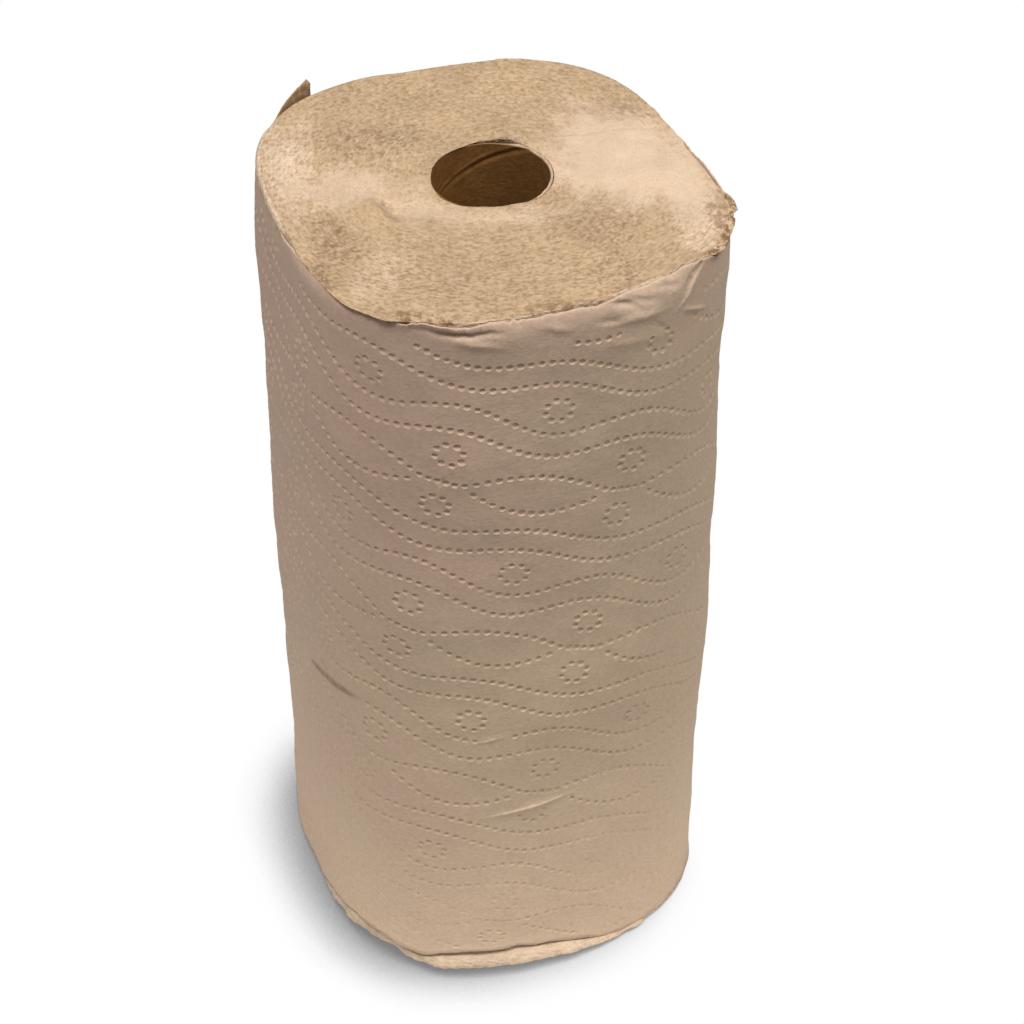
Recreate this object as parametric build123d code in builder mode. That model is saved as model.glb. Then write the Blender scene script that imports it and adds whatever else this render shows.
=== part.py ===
"""Paper towel roll standing on its end: unbleached towel wound on a spiral cardboard core.

The origin is on the core's axis at the floor, with +Z up along the axis and the front towards -Y.
"""

import os
from math import ceil, cos, radians, sin, sqrt

from build123d import *

# Driving dimensions, in millimetres and degrees

# Towel
TOWEL_WIDTH = 279.4  # width of the towel, which is the height of the standing roll
ROLL_RADIUS = 73.1  # mean outside radius of the wound towel
SHEET = 0.6  # thickness of the outermost turn at its free end

# The roll has been squashed: its outside is a circle with these three waves on it
OFF_CENTRE = 4.0  # shift of the outside from the core's axis
OFF_CENTRE_ANGLE = -101.5
OVAL = 2.7
OVAL_ANGLE = -65.7
SQUARE = 3.6
SQUARE_ANGLE = -24.9

# Free end of the towel, whose top corner stands up
TAIL_ANGLE = 140.0
TAIL_CORNER_SPAN = 13.0  # stretch of the top edge that has come up, round the roll
TAIL_CORNER_RISE = 8.0  # height of the corner's tip over the roll's end

# Ends of the roll, where the outermost turn stops short of the turns inside it
HEM_RISE = 4.5  # bottom edge of the outermost turn over the floor
HEM_INSET = 1.2
FOOT_BEVEL = 2.2
LIP_DROP = 1.4  # top edge of the outermost turn under the roll's end
LIP_INSET = 1.0
CROWN_BEVEL = 0.7

# Spiral line between the turns on each end, each turn standing for a bundle of real ones
TURN_PITCH = 9.0
TURN_GAP = 0.7
TURN_GAP_DEPTH = 0.9
TURN_MARGIN = 3.0  # plain ring left beside the bore and inside the rim

# Core
CORE_BORE = 37.5  # inside diameter
CORE_WALL = 0.9
CORE_CLEARANCE = 0.2  # between the core and the first turn
SEAM_PITCH = 54.0  # climb of the seam between the edges of the inner ply
SEAM_WIDTH = 1.2
SEAM_DEPTH = 0.35
SEAM_TOP_ANGLE = 50.0  # where the seam comes out of the top end
SEAM_RUN_OUT = 0.4  # turns of the seam's cut past each end

# First turn, which has come away from the core at one place on the top end
LIFT_ANGLE = 76.0
LIFT_GAP = 1.5
LIFT_CHORD = 11.0
LIFT_DEPTH = 12.0

# Arcs that make up one turn
OUTSIDE_ARCS = 24
SPIRAL_ARCS = 16

# Worked out from the above
CORE_RADIUS = CORE_BORE / 2 + CORE_WALL
TOWEL_BORE_RADIUS = CORE_RADIUS + CORE_CLEARANCE
SPIRAL_START = TOWEL_BORE_RADIUS + TURN_MARGIN
SPIRAL_INSET = HEM_INSET + FOOT_BEVEL + TURN_MARGIN
SPIRAL_COUNT = round((ROLL_RADIUS - SPIRAL_INSET - SPIRAL_START) / TURN_PITCH * SPIRAL_ARCS)


def outside(angle):
    """Outside radius of the squashed roll, under its outermost turn."""
    return (
        ROLL_RADIUS
        + OFF_CENTRE * cos(radians(angle - OFF_CENTRE_ANGLE))
        + OVAL * cos(2 * radians(angle - OVAL_ANGLE))
        + SQUARE * cos(4 * radians(angle - SQUARE_ANGLE))
    )


def over_outermost(angle):
    """Outside radius over the outermost turn, which thins to nothing once round from the tail."""
    return outside(angle) + SHEET * (1 - (angle - TAIL_ANGLE) / 360)


def point(radius, angle):
    """Plan point at a radius and an angle about the core's axis."""
    return (radius * cos(radians(angle)), radius * sin(radians(angle)))


def arcs(radius_at, sweep, count):
    """Chain of arcs from the tail's angle through a sweep, at the radius for each angle."""
    angles = [TAIL_ANGLE + sweep * i / (2 * count) for i in range(2 * count + 1)]
    points = [point(radius_at(angle), angle) for angle in angles]
    return [ThreePointArc(*points[i : i + 3]) for i in range(0, 2 * count, 2)]


def closed_outline(inset):
    """Arcs once round the roll, inside its outside by inset."""
    return arcs(lambda angle: outside(angle) - inset, 360, OUTSIDE_ARCS)


def close_ends(inner, outer):
    """Lines that join the ends of two chains of arcs into a closed strip."""
    return [Line(inner[0] @ 0, outer[0] @ 0), Line(inner[-1] @ 1, outer[-1] @ 1)]


def spiral(shift):
    """Arcs along the line between the turns, from the core to the rim, moved outwards by shift."""
    sweep = 360 * SPIRAL_COUNT / SPIRAL_ARCS

    def radius_at(angle):
        share = (angle - TAIL_ANGLE) / sweep
        return SPIRAL_START + (outside(angle) - SPIRAL_INSET - SPIRAL_START) * share + shift

    return arcs(radius_at, sweep, SPIRAL_COUNT)


# Top corner of the towel's free end: a strip of the outermost turn with a sloping top edge
lip_height = TOWEL_WIDTH - LIP_DROP
corner_end_angle = TAIL_ANGLE + TAIL_CORNER_SPAN
corner_tip = Vector(*point(over_outermost(TAIL_ANGLE), TAIL_ANGLE), TOWEL_WIDTH + TAIL_CORNER_RISE)
corner_end = Vector(*point(over_outermost(corner_end_angle), corner_end_angle), lip_height)
corner_slope = (corner_end - corner_tip).normalized()
corner_outwards = Vector(*point(1, TAIL_ANGLE + TAIL_CORNER_SPAN / 2))
corner_edge = Plane(corner_tip, x_dir=corner_slope, z_dir=corner_outwards.cross(corner_slope))

with BuildPart() as tail_corner:
    with BuildSketch(Plane.XY.offset(lip_height)):
        with BuildLine():
            corner_inside = arcs(lambda angle: over_outermost(angle) - SHEET, TAIL_CORNER_SPAN, 1)
            corner_outside = arcs(over_outermost, TAIL_CORNER_SPAN, 1)
            close_ends(corner_inside, corner_outside)
        make_face()
    extrude(amount=TAIL_CORNER_RISE + LIP_DROP)
    split(bisect_by=corner_edge, keep=Keep.BOTTOM)

# Line between the turns, drawn once for both ends
turn_inside = spiral(-TURN_GAP / 2)
turn_outside = spiral(TURN_GAP / 2)
turn_line = turn_inside + turn_outside + close_ends(turn_inside, turn_outside)

# Wound towel, all its turns as one solid
with BuildPart() as towel_roll:
    # Turns that reach the floor, with a worn foot
    with BuildSketch():
        with BuildLine():
            closed_outline(HEM_INSET)
        make_face()
    extrude(amount=HEM_RISE)
    chamfer(towel_roll.edges().group_by(Axis.Z)[0], FOOT_BEVEL)

    # Turns that make the top end, with a slightly worn rim
    with BuildSketch(Plane.XY.offset(HEM_RISE)):
        with BuildLine():
            closed_outline(LIP_INSET)
        make_face()
    extrude(amount=TOWEL_WIDTH - HEM_RISE)
    chamfer(towel_roll.edges().group_by(Axis.Z)[-1], CROWN_BEVEL)

    # Outermost turn, which ends in a step at the tail
    with BuildSketch(Plane.XY.offset(HEM_RISE)):
        with BuildLine():
            outermost = arcs(over_outermost, 360, OUTSIDE_ARCS)
            Line(outermost[-1] @ 1, outermost[0] @ 0)
        make_face()
    extrude(amount=lip_height - HEM_RISE)
    add(tail_corner.part)

    # Bore for the core
    with BuildSketch():
        Circle(TOWEL_BORE_RADIUS)
    extrude(amount=TOWEL_WIDTH, mode=Mode.SUBTRACT)

    # Place where the first turn has come away from the core
    bore_sagitta = TOWEL_BORE_RADIUS - sqrt(TOWEL_BORE_RADIUS**2 - (LIFT_CHORD / 2) ** 2)
    lift_sagitta = bore_sagitta + LIFT_GAP
    lift_radius = ((LIFT_CHORD / 2) ** 2 + lift_sagitta**2) / (2 * lift_sagitta)
    with BuildSketch(Plane.XY.offset(TOWEL_WIDTH)):
        with Locations(point(TOWEL_BORE_RADIUS + LIFT_GAP - lift_radius, LIFT_ANGLE)):
            Circle(lift_radius)
    extrude(amount=-LIFT_DEPTH, mode=Mode.SUBTRACT)

    # Spiral line between the turns, on both ends
    with BuildSketch():
        with BuildLine():
            add(turn_line)
        make_face()
    extrude(amount=TURN_GAP_DEPTH, mode=Mode.SUBTRACT)
    with BuildSketch(Plane.XY.offset(TOWEL_WIDTH)):
        with BuildLine():
            add(turn_line)
        make_face()
    extrude(amount=-TURN_GAP_DEPTH, mode=Mode.SUBTRACT)

# Core, cut off flush with the towel, with the seam of its inner ply running past both ends
seam_turns = ceil(TOWEL_WIDTH / SEAM_PITCH + SEAM_TOP_ANGLE / 360 + SEAM_RUN_OUT)
seam_foot = TOWEL_WIDTH - SEAM_PITCH * (seam_turns - SEAM_TOP_ANGLE / 360)
seam_rise = TOWEL_WIDTH - seam_foot + SEAM_PITCH * SEAM_RUN_OUT

with BuildPart() as core_tube:
    with BuildSketch():
        Circle(CORE_RADIUS)
        Circle(CORE_BORE / 2, mode=Mode.SUBTRACT)
    extrude(amount=TOWEL_WIDTH)
    with BuildLine():
        seam = Helix(SEAM_PITCH, seam_rise, CORE_BORE / 2, center=(0, 0, seam_foot), lefthand=True)
    with BuildSketch(Plane(seam @ 0, x_dir=(1, 0, 0), z_dir=seam % 0)):
        Rectangle(2 * SEAM_DEPTH, SEAM_WIDTH)
    sweep(path=seam, is_frenet=True, mode=Mode.SUBTRACT)

towel_roll.part.label = "towel_roll"
core_tube.part.label = "core_tube"

os.makedirs("parts", exist_ok=True)
export_step(towel_roll.part, "parts/towel_roll.step")
export_step(core_tube.part, "parts/core_tube.step")
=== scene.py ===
"""Paper towel roll: the looks of the wound towel and its core, on a white floor.

Lengths here are in millimetres and angles in degrees, and a mesh is turned into metres when it is made.
Angles go round the core's axis from +X, anticlockwise from above, so the photograph's front is at -90.
"""

import math

import bpy
import numpy as np
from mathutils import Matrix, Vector
from mathutils.geometry import delaunay_2d_cdt


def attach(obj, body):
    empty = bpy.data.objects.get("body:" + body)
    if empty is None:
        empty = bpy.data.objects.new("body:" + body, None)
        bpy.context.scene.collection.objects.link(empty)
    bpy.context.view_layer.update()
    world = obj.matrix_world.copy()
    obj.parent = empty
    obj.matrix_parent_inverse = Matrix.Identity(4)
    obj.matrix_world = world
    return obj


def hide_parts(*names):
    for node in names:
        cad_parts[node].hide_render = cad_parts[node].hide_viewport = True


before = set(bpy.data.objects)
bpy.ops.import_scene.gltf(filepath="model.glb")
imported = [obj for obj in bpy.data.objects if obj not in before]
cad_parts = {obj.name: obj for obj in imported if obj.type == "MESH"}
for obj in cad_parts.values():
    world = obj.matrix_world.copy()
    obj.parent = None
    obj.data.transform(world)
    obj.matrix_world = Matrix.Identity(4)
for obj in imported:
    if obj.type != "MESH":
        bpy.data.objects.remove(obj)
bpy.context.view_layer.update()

MM = 0.001

# Roll, as in the CAD model
TOWEL_WIDTH = 279.4
ROLL_RADIUS = 73.1
SHEET = 0.6
WAVES = ((1, 4.0, -101.5), (2, 2.7, -65.7), (4, 3.6, -24.9))
TAIL_ANGLE = 140.0
HEM_RISE = 4.5
LIP_DROP = 1.4
BODY_INSET = 1.0  # of the turns inside from the roll's outside
CORE_RADIUS = 18.75
CORE_WALL = 0.9
TOWEL_BORE = 19.85
SEAM_PITCH = 54.0
SEAM_TOP_ANGLE = 50.0
LIFT_ANGLE = 76.0
LIFT_DEPTH = 12.0

# Worn edges of the top end, and how far the first turn has come away from the core
EDGE_WORN = 0.35  # drop of the end's sharp edge
FELT_ROUND = 1.5  # radius of the edge where it is felted over
FELT_OUT = 0.1
LIFT_GAP = 1.7

# Outermost turn
SHEET_THICKNESS = 0.4
SHEET_TOP = TOWEL_WIDTH - LIP_DROP
SIDE_UNEVEN = (0.35, 0.12, 0.04)  # slow, middle and fine unevenness of the side
CALM = 0.2  # share of it that is left at the top edge
CALM_REACH = 25.0
EDGE_TURN = math.radians(55.0)  # how far the strip under the top edge bends in
EDGE_REACH = 4.0  # height of that strip, and what a rounded or leaning edge adds to it
EDGE_UNEVEN = (0.25, 0.12)
TOP_STRIP = 14.0  # strip that the edge's unevenness and the free corner fade over
TAIL_REACH = 16.0  # stretch next to the tail that stands off the roll, and its two amounts
TAIL_LIFT = 0.9
CORNER_LIFT = 0.7
FLAP_RISE = 6.8  # height of the free corner over the edge, and the length that it slopes down over
FLAP_LENGTH = 21.0
FLAP_TIP = 1.2  # place of its tip along the sheet, and how long the slope on the tail's side would be
FLAP_BACK = 4.0
OVERLAP = 5.0  # degrees that the turn runs on under its own tail
OVERLAP_TUCK = 0.5
HEM_REACH = 40.0  # strip that the shape of the bottom edge fades over
HEM_UNEVEN = (0.2, 0.05)
HEM_FLARE = 0.9
GRID = 2.8  # distance between points of the mesh
RIM_ROWS = (0.6, 1.3, 2.1, 3.0, 4.0, 5.2, 6.6, 8.2)  # rows of points under the top edge
RIM_STEP = 1.6
CREASE_STEP = 1.1
CREASE_ROWS = (-1.0, -0.66, -0.33, 0.0, 0.33, 0.66, 1.0)

# Stretches of the top rim. Each has zones of start, end, fade and strength, and what it adds to the
# drop and the lean of the outermost turn's edge and to the inset of the end's edge
EDGE_LEAN = 0.3
END_INSET = 1.1
STRETCHES = {
    # Left side, where the rim is felted over into a round edge
    "rounded": (((162, 200, 16, 1.0),), 0.4, 0.2, 0.0),
    # Front right, where the top of the outermost turn is tucked in
    "leaning": (((-87, -62, 8, 0.4), (-56, -41, 9, 1.0)), -0.8, 2.5, 2.4),
    # Front left, where its top edge is rolled in
    "rolled": (((-140, -125, 12, 1.0),), -0.7, 1.2, -0.3),
    # Front corner, where the turns inside stand out over the outermost one
    "overhanging": (((-119, -113, 14, 1.0),), 0.2, 0.0, -2.7),
    # Two short stretches where the edge of the outermost turn stands out
    "lipped": (((-108, -99, 3, 1.0), (-40, -31, 4, 1.0)), -1.0, -1.0, 0.0),
    # Right corner, where the turns inside are torn and turned out, and a nick in it
    "ragged": (((-31, -10, 5, 1.0),), 0.9, 0.0, -3.2),
    "nicked": (((-17, -15.5, 1.5, 1.0),), 0.0, 0.0, 1.2),
    # Back left, under the free corner
    "covered": (((124, 158, 10, 1.0),), 0.0, 0.0, -1.3),
    # Two short stretches where a gap opens inside the outermost turn
    "gaping": (((-102, -98, 3, 1.0), (-2, 14, 5, 1.0)), 0.0, 0.0, 0.8),
}

# Embossing: a slanted cell repeated over the sheet, across and down
CELL_ACROSS = np.array((58.4, -14.6))
CELL_DOWN = np.array((-14.0, -61.2))
CELL_ANGLE = 185.0
CELL_SHIFT = 128.0
CELL_HEIGHT = 213.0
WAVE_LINES = ((-26.3, 3.7), (-17.7, 3.1), (16.0, -2.3), (24.1, -2.4))  # place down and swing of each
LINE_DOTS = 19
EYE_HEIGHT = 7.1  # half height of the eye between two tips, and the drop of its middle towards them
EYE_TIP = 0.41
EYE_SAG = -1.0
EYE_DOTS = 15
BRIDGE_DOTS = 4  # dots from one eye's tip to the next one's
BRIDGE_HEIGHT = -0.9
RINGS = ((0.5, -11.6), (0.5, 9.0), (0.0, 31.4))  # place across and down of each ring of dots
RING_HALF = (4.4, 3.8)
RING_DOTS = 8
DOT_LONG = 1.3
DOT_HIGH = 1.12
DOT_DEPTH = 0.78
DOT_SIZES = (0.88, 1.1)  # least and most size and strength of a dot
DOT_STRENGTHS = (0.75, 1.15)
DOT_APART = 2.0  # least distance between two dots
DOT_CLEAR = 2.0  # least distance from a dot to a point of the plain paper
DOT_RIM = 8  # points round a dot's rim
DOT_BASE = 5  # points round its floor
DOT_FLOOR = 0.36  # size of a dot's floor to the dot's own
DOT_OFFSET = 0.4  # how far the floor lies off the middle, which makes the wall below it gentler
FLOOR_SIDE = math.radians(110.0)
DOT_LIP = 0.14  # height of the rim on the side away from the floor
PILLOW = 0.05
PILLOW_EDGE = 3.6
LOW_EMBOSS = 0.42  # share of the embossing left near the floor
RIGHT_FADE = 0.3  # share of it lost at the right
PLAIN_MARGIN = 6.0  # plain strip under the top edge, and what creased stretches add to it
PLAIN_MORE = 4.0

# Height of the bottom edge of the outermost turn, at a few angles
HEM = (
    (-150, 3.0), (-129, 9.5), (-118, 10.2), (-109, 7.2), (-98, 11.0),
    (-84, 11.0), (-72, 8.3), (-57, 2.6), (-45, 1.4),
)

# How far the turns inside swell out under that edge, as a share of the most, at a few angles
SWELL = (
    (-165, 0.0), (-142, 0.5), (-130, 0.4), (-122, 0.2), (-116, 0.0), (-109, 0.6),
    (-103, 1.0), (-72, 1.05), (-60, 0.9), (-48, 0.6), (-35, 0.2), (-20, 0.0),
)
SWELL_MOST = 4.6

# Places where the side stands out or is pushed in: angle, half span, height, half height and how far
BULGES = ((192, 45, 232, 65, 1.2), (190, 48, 150, 120, 2.4), (0, 75, 5, 115, -3.0))

# Creases of the outermost turn: two ends as angle and height, half width, and height of its ridge
CREASES = (
    ((-92.5, 75.6), (-68.0, 79.6), 0.8, 0.75),
    ((-94.0, 110.8), (-86.5, 113.2), 0.7, 0.4),
    ((-149.0, 110.7), (-132.0, 118.3), 2.0, 0.3),
    ((-141.5, 115.2), (-122.5, 119.3), 2.2, 0.35),
    ((-106.0, 276.2), (-86.0, 274.3), 1.3, -1.3),
    ((-98.0, 273.5), (-86.0, 269.5), 2.0, 0.6),
    ((-35.0, 278.5), (-42.0, 272.0), 1.0, -1.4),
    ((-37.5, 275.0), (-44.5, 266.0), 1.4, 0.9),
    ((-43.5, 266.5), (-33.5, 260.5), 1.2, 0.7),
    ((-58.5, 276.0), (-48.0, 272.5), 1.6, -0.5),
    ((-62.0, 271.0), (-46.0, 269.0), 2.0, 0.8),
    ((-70.0, 265.5), (-45.0, 259.5), 2.5, 0.4),
    ((-62.5, 277.4), (-54.0, 272.5), 1.4, -1.0),
    ((-79.0, 275.0), (-71.0, 272.0), 1.6, 0.4),
    ((-66.5, 273.5), (-57.5, 270.5), 1.6, -0.45),
    ((-50.5, 276.5), (-42.5, 274.2), 1.5, -0.5),
    ((-53.0, 268.0), (-46.5, 261.5), 1.6, -0.45),
)
PAINTED_SHADE_CREASE = (2, 3)  # places in that list of the two stretches of the crease whose dark line is painted shade
CREASE_CLEAR = 1.2  # plain paper left beside a crease
WIDE_CREASE = 2.4  # half width from which a crease has dots on it

# Corners of the smeared, pale fan on the top end
FAN = ((18, 16), (28, 39), (51, 34), (66, 15), (73, -16), (62, -27), (44, -17), (19, -11))
FAN_EDGE = 20.0

# Radius of the towel's mouth round the bore, where it isn't the bore's own, at a few angles
MOUTH = (
    (-180, 18.3), (-155, 18.9), (-140, 19.7), (-118, 19.3), (-97, 17.7), (-64, 17.8),
    (-40, 19.85), (60, 19.85), (100, 19.7), (118, 18.4), (180, 18.3),
)
MOUTH_LIP = 0.35  # thickness of the towel's edge over the core

# Patches of the top end: middle, half lengths, slant and strength of each
PALE = (
    ((-62, 2), (25, 9), -80, 0.8),
    ((-46, -8), (20, 11), 0, 0.65),
    ((-21, -19), (15, 7), -25, 0.6),
    ((6, -23), (18, 5), 8, 0.5),
    ((-33, -56), (7, 15), -20, 0.3),
    ((64, -25), (8, 18), 10, 0.8),
)
SMEARED = (
    ((-38, -9), (20, 11), 0, 0.8),
    ((-20, -22), (14, 8), -25, 0.8),
    ((6, -23), (18, 5), 8, 0.5),
)
DENT = ((-38.5, -13.0), (-30.0, -28.5))  # ends of the dent's crest
DENT_ACROSS = (-8.0, 0.0, 5.0, 14.0)
DENT_HEIGHT = (0.0, 2.2, -2.4, 0.0)
FOLD = ((20.0, 22.5), (58.0, 27.0))  # ends of a slight fold in the fan
FOLD_ACROSS = (-5.0, -0.6, 0.6, 5.0)
FOLD_HEIGHT = (0.0, 0.5, -0.4, 0.0)
TORN = (
    ((-38, 20), (15, 12), 20, 1.0),
    ((-48, -36), (8, 14), 20, 1.0),
    ((34, -28), (17, 10), 25, 0.9),
    ((37, -50), (9, 11), 0, 0.9),
    ((-5, -52), (36, 20), 0, 0.6),
    ((-8, 45), (40, 12), 0, 0.3),
)
BROWN_AND_SHADE = (
    ((-49.5, -53.5), (12, 3.2), -47, 1.0),
    ((-16.5, -76.5), (11, 2.4), -12, 1.0),
    ((45, 37), (8, 3), -20, 0.6),
    ((70, -22), (4, 13), 5, 0.8),
    ((26, -69), (20, 2.5), 10, 0.8),
    # Painted shade: a darker brown speckle on the dent's shaded slope
    ((-31.5, -19), (8, 3.5), -61, 0.55),
    ((-46, -38), (8, 12), 20, 0.45),
    ((36, -29), (13, 8), 25, 0.22),
)

# Relief and roughness of the top end
END_WIDTH = 53.0  # from the bore to the rim
TURN_SCALE = 52.0
TURN_RELIEF = (0.02, 0.05)  # height of the turns' edges, and what a rough place adds
GRAIN_RELIEF = 0.09
FACE_RELIEF = 0.3
CRUMPLE = 0.5  # relief of the torn corner
CRUMPLE_REACH = 12.0
ROUGH = 0.7  # plain roughness, and what torn places add and the fan and smeared places take away
ROUGH_TORN = 0.4
ROUGH_FAN = 0.62
ROUGH_SMEARED = 0.5
ROUGH_LIMITS = (0.08, 1.1)

# Rings of points of the body and of the core
BODY_COLUMNS = 440
FOOT_RINGS = 22
FOOT_ROUND = 3.0  # how far the foot is rounded in at the floor
SIDE_HEIGHTS = (20.0, 40.0, 70.0, 100.0, 130.0, 170.0, 200.0, 232.0, 262.0)
CROWN_RINGS = 14
CROWN_REACH = 9.0  # height of the strip under the edge of the top end
TOP_RINGS = 142
BORE_DROPS = (1.2, 4.0, 8.0, *(LIFT_DEPTH + more for more in (0.0, 1.0, 2.0, 3.0)), 150.0, 275.0)
BASE_RINGS = 26
CORE_COLUMNS = 256
CORE_RIM = ((1.0, -0.25), (0.8, 0.05), (0.5, 0.12), (0.2, 0.0))  # share of the wall, and lift
CORE_HEIGHTS = np.concatenate((np.linspace(TOWEL_WIDTH - 0.35, 206.0, 150), np.linspace(205.0, 0.3, 70)))

# Seam of the core's inner ply
SEAM_HALF = 1.2
SEAM_DEPTH = 0.4
SEAM_FADED = 0.15  # share of the groove's depth that is left lower down
SEAM_STEP = 0.08
SEAM_EDGE = 0.22

# Colours
PAPER_WARM = (0.64, 0.443, 0.326, 1)
PAPER_COOL = (0.62, 0.458, 0.316, 1)
PAPER_FLECK = (0.3, 0.2, 0.12, 1)
# Brown of the torn edge, and painted shade on the free corner in shadow and along one crease
PAPER_TORN_AND_SHADE = (0.27, 0.158, 0.065, 1)
FELT_DARK = (0.49, 0.337, 0.20, 1)
FELT_PALE = (0.67, 0.494, 0.34, 1)
# Painted shade in the felt's pits and in its coarse holes
FELT_PIT_SHADE = (0.3, 0.17, 0.075, 1)
FELT_HOLE_SHADE = (0.26, 0.14, 0.06, 1)
FELT_BROWN_AND_SHADE = (0.22, 0.125, 0.06, 1)
FELT_POWERS = (0.85, 1.0, 1.3)  # of red, green and blue, so that the painted shade of the dark strokes is brown
BOARD_DARK = (0.18, 0.08, 0.019, 1)
BOARD_LIGHT = (0.23, 0.108, 0.029, 1)
BOARD_RIM_SHADE = (0.12, 0.06, 0.02, 1)
BOARD_RIM_RIGHT = (0.62, 0.43, 0.28, 1)

# Set, with the floor's size in millimetres and the rest in metres
FLOOR_HALF = 6000.0
FLOOR_HEIGHT = -0.05
FLOOR_PATCH = 0.24  # radius of the pale patch under the roll, and how pale it and the rest are
FLOOR_NEAR = 0.95
FLOOR_FAR = 0.12
CONTACT_REACH = 0.03  # reach, darkness and lean of the shadow where the roll meets the floor
CONTACT_SHADE = 0.2
CONTACT_LEAN = (0.45, 0.3, 0.84)
LIGHTS = (  # name, place, size and power
    ("left key", (-0.6, -0.5, 1.8), 0.5, 18.5),
    ("right key", (0.75, -0.4, 1.75), 0.9, 19.5),
)
LIGHT_TARGET = (0.0, 0.0, 0.15)
WORLD_STRENGTH = 0.18
CAMERA_LENS = 98.16
CAMERA_PLACE = (0.0068, -0.7321, 0.7514)
CAMERA_TILT = math.radians(50.3)

rng = np.random.default_rng(7)


# Shape helpers


def smooth(x):
    """Smooth step from 0 at 0 to 1 at 1."""
    x = np.clip(x, 0.0, 1.0)
    return x * x * (3 - 2 * x)


def bump(x):
    """Bell that is 1 at 0 and fades to 0 at -1 and 1."""
    return smooth(1 - np.abs(x))


def turned(angle, centre):
    """Difference of two angles, between -180 and 180."""
    return (np.asarray(angle) - centre + 180.0) % 360.0 - 180.0


def zone(angle, start, end, fade):
    """1 between two angles round the roll, fading to 0 beyond them."""
    return smooth(((end - start) / 2 + fade - np.abs(turned(angle, (start + end) / 2))) / fade)


class Noise:
    """Smooth seeded noise from a sum of random plane waves."""

    def __init__(self, seed, wavelength, spread=0.5, count=24, dims=2):
        r = np.random.default_rng(seed)
        direction = r.normal(size=(count, dims))
        direction /= np.linalg.norm(direction, axis=1)[:, None]
        scale = np.exp(r.uniform(-spread, spread, count))
        self.k = direction * (2 * math.pi / (wavelength * scale))[:, None]
        self.phase = r.uniform(0, 2 * math.pi, count)
        self.gain = math.sqrt(2.0 / count)

    def __call__(self, *coords):
        total = 0.0
        for k, phase in zip(self.k, self.phase):
            total = total + np.sin(sum(c * w for c, w in zip(coords, k)) + phase)
        return total * self.gain


def outside(angle):
    """Outside radius of the squashed roll, under its outermost turn."""
    radius = ROLL_RADIUS + 0.0 * np.asarray(angle, dtype=float)
    for order, size, at in WAVES:
        radius = radius + size * np.cos(order * np.radians(angle - at))
    return radius


def bulging(angle, height):
    """How far the side stands out at an angle and a height."""
    total = 0.0 * (angle + height)
    for at, span, middle, reach, size in BULGES:
        total = total + size * bump(turned(angle, at) / span) * bump((height - middle) / reach)
    return total


def over_outermost(angle):
    """Outside radius over the outermost turn, for angles from the tail onwards."""
    return outside(angle) + SHEET * (1 - (angle - TAIL_ANGLE) / 360.0)


def make_mesh(name, verts, faces):
    """New object from points in millimetres."""
    mesh = bpy.data.meshes.new(name)
    mesh.from_pydata((np.asarray(verts) * MM).tolist(), [], faces)
    mesh.validate()
    mesh.polygons.foreach_set("use_smooth", [True] * len(mesh.polygons))
    mesh.update()
    obj = bpy.data.objects.new(name, mesh)
    bpy.context.scene.collection.objects.link(obj)
    return obj


def paint(obj, name, values):
    """Value at each point of a mesh, for its material."""
    attribute = obj.data.attributes.new(name, "FLOAT", "POINT")
    attribute.data.foreach_set("value", np.asarray(values, dtype=np.float32))


def at_angles(table, angle):
    """Value at an angle between the angles of a table."""
    return np.interp(turned(angle, 0.0), [a for a, _ in table], [value for _, value in table])


def polar(radius, angle):
    """Plan place at a radius and an angle."""
    return radius * np.cos(np.radians(angle)), radius * np.sin(np.radians(angle))


def ring_angles(columns):
    """Angles of the points of a ring."""
    return np.arange(columns) * 360.0 / columns


def ring(angle, radius, height):
    """Points at angles round the core's axis, at a radius and a height."""
    return np.stack((*polar(radius, angle), height + 0.0 * angle), axis=1)


def ring_faces(count, columns):
    """Faces between rings of points that follow each other in a closed loop."""
    return [
        (i * columns + k, i * columns + (k + 1) % columns, j * columns + (k + 1) % columns, j * columns + k)
        for i in range(count)
        for j in ((i + 1) % count,)
        for k in range(columns)
    ]


# Top rim


def stretch(name, angle):
    """How far an angle belongs to a named stretch of the top rim."""
    zones = STRETCHES[name][0]
    return np.maximum.reduce([share * zone(angle, start, end, fade) for start, end, fade, share in zones])


def along_rim(plain, item, angle):
    """A measure of the rim: its plain amount and what the stretches add to it."""
    return plain + sum(values[item] * stretch(name, angle) for name, values in STRETCHES.items())


def edge_drop(angle):
    """How far the top edge of the outermost turn lies under the roll's end."""
    return along_rim(LIP_DROP, 1, angle)


def edge_lean(angle):
    """How far the top edge of the outermost turn leans in."""
    return along_rim(EDGE_LEAN, 2, angle)


def end_inset(angle):
    """How far the edge of the roll's end lies inside the outermost turn's outside."""
    return along_rim(END_INSET, 3, angle)


# Plan of the outermost turn: angle, place and outward direction along its length

plan_angle = np.arange(TAIL_ANGLE, TAIL_ANGLE + 360.0 + OVERLAP, 0.05)
plan_xy = np.stack(polar(over_outermost(plan_angle), plan_angle), axis=1)
plan_step = np.gradient(plan_xy, axis=0)
plan_step /= np.linalg.norm(plan_step, axis=1)[:, None]
plan_arc = np.concatenate(((0.0,), np.cumsum(np.linalg.norm(np.diff(plan_xy, axis=0), axis=1))))
SHEET_LENGTH = float(plan_arc[-1])


def angle_at(arc):
    """Angle of the outermost turn at a length along it from the tail."""
    return np.interp(arc, plan_arc, plan_angle)


def arc_at(angle):
    """Length along the outermost turn from the tail to an angle."""
    return np.interp((np.asarray(angle) - TAIL_ANGLE) % 360.0 + TAIL_ANGLE, plan_angle, plan_arc)


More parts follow.
